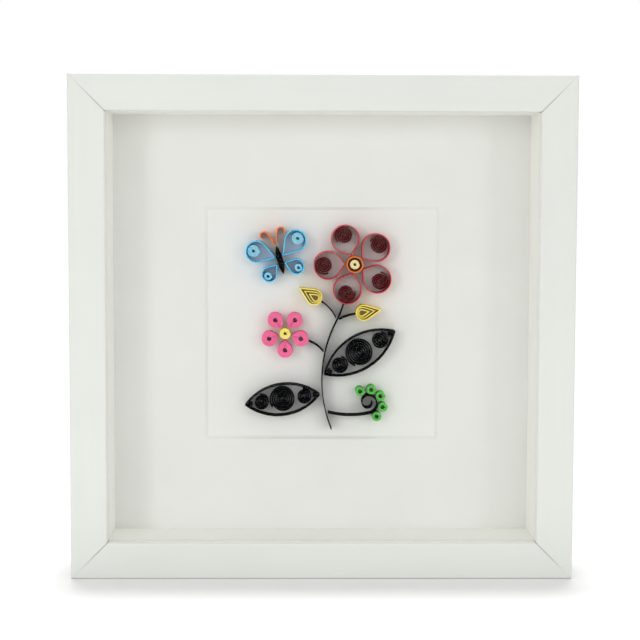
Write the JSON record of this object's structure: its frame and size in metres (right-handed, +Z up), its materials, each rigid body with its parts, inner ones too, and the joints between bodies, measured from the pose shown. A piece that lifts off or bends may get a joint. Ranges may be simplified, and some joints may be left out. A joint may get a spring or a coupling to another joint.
{
  "type": "framed quilled paper art",
  "caption": "Deep white box frame with clear glazing, spacers and a window mat, round a raised picture of rolled and bent paper strips.",
  "frame": {"origin": "middle of the frame's foot, at the centre of its width and depth", "axes": "+Z up the picture, +X to the viewer's right, +Y from the glazed front to the back"},
  "size_m": [0.25, 0.045, 0.25],
  "materials": {
    "white_lacquer": "satin",
    "spacer_white": "matte",
    "clear_glazing": "gloss",
    "mat_board": "matte",
    "white_card": "matte",
    "fibreboard": "matte",
    "tab_steel": "satin",
    "wedge_steel": "satin",
    "hanger_steel": "satin",
    "crimson_paper": "matte",
    "dark_red_paper": "matte",
    "orange_paper": "matte",
    "cream_paper": "matte",
    "black_paper": "matte",
    "pink_paper": "matte",
    "yellow_paper": "matte",
    "green_paper": "matte",
    "blue_paper": "matte",
    "pale_blue_paper": "matte"
  },
  "bodies": {
    "root": {"antenna_left": "orange_paper", "antenna_right": "orange_paper", "back_panel": "fibreboard", "berries": "green_paper", "berry_scroll": "black_paper", "bloom_coil_1": "dark_red_paper", "bloom_coil_2": "dark_red_paper", "bloom_coil_3": "dark_red_paper", "bloom_coil_4": "dark_red_paper", "bloom_coil_5": "dark_red_paper", "bloom_eye_band": "orange_paper", "bloom_eye_ring": "dark_red_paper", "bloom_eye_roll": "cream_paper", "bloom_petal_1": "crimson_paper", "bloom_petal_2": "crimson_paper", "bloom_petal_3": "crimson_paper", "bloom_petal_4": "crimson_paper", "bloom_petal_5": "crimson_paper", "blossom_centre": "yellow_paper", "blossom_petals": "pink_paper", "blossom_stalk": "black_paper", "butterfly_body": "black_paper", "corner_wedges": "wedge_steel", "forewing_left": "blue_paper", "forewing_right": "blue_paper", "forewing_roll_left": "pale_blue_paper", "forewing_roll_right": "pale_blue_paper", "front_glazing": "clear_glazing", "hindwing_left": "blue_paper", "hindwing_right": "blue_paper", "hindwing_roll_left": "pale_blue_paper", "hindwing_roll_right": "pale_blue_paper", "left_bud_coil": "yellow_paper", "left_bud_outline": "yellow_paper", "left_bud_stalk": "black_paper", "left_leaf_coils": "black_paper", "left_leaf_outline": "black_paper", "left_leaf_rolls": "black_paper", "picture_card": "white_card", "rail_bottom": "white_lacquer", "rail_left": "white_lacquer", "rail_right": "white_lacquer", "rail_top": "white_lacquer", "retaining_tabs": "tab_steel", "right_bud_coil": "yellow_paper", "right_bud_outline": "yellow_paper", "right_bud_stalk": "black_paper", "right_leaf_coils": "black_paper", "right_leaf_outline": "black_paper", "right_leaf_rolls": "black_paper", "sawtooth_hanger": "hanger_steel", "spacer_bottom": "spacer_white", "spacer_left": "spacer_white", "spacer_right": "spacer_white", "spacer_top": "spacer_white", "stem": "black_paper", "window_mat": "mat_board"}
  },
  "joints": []
}
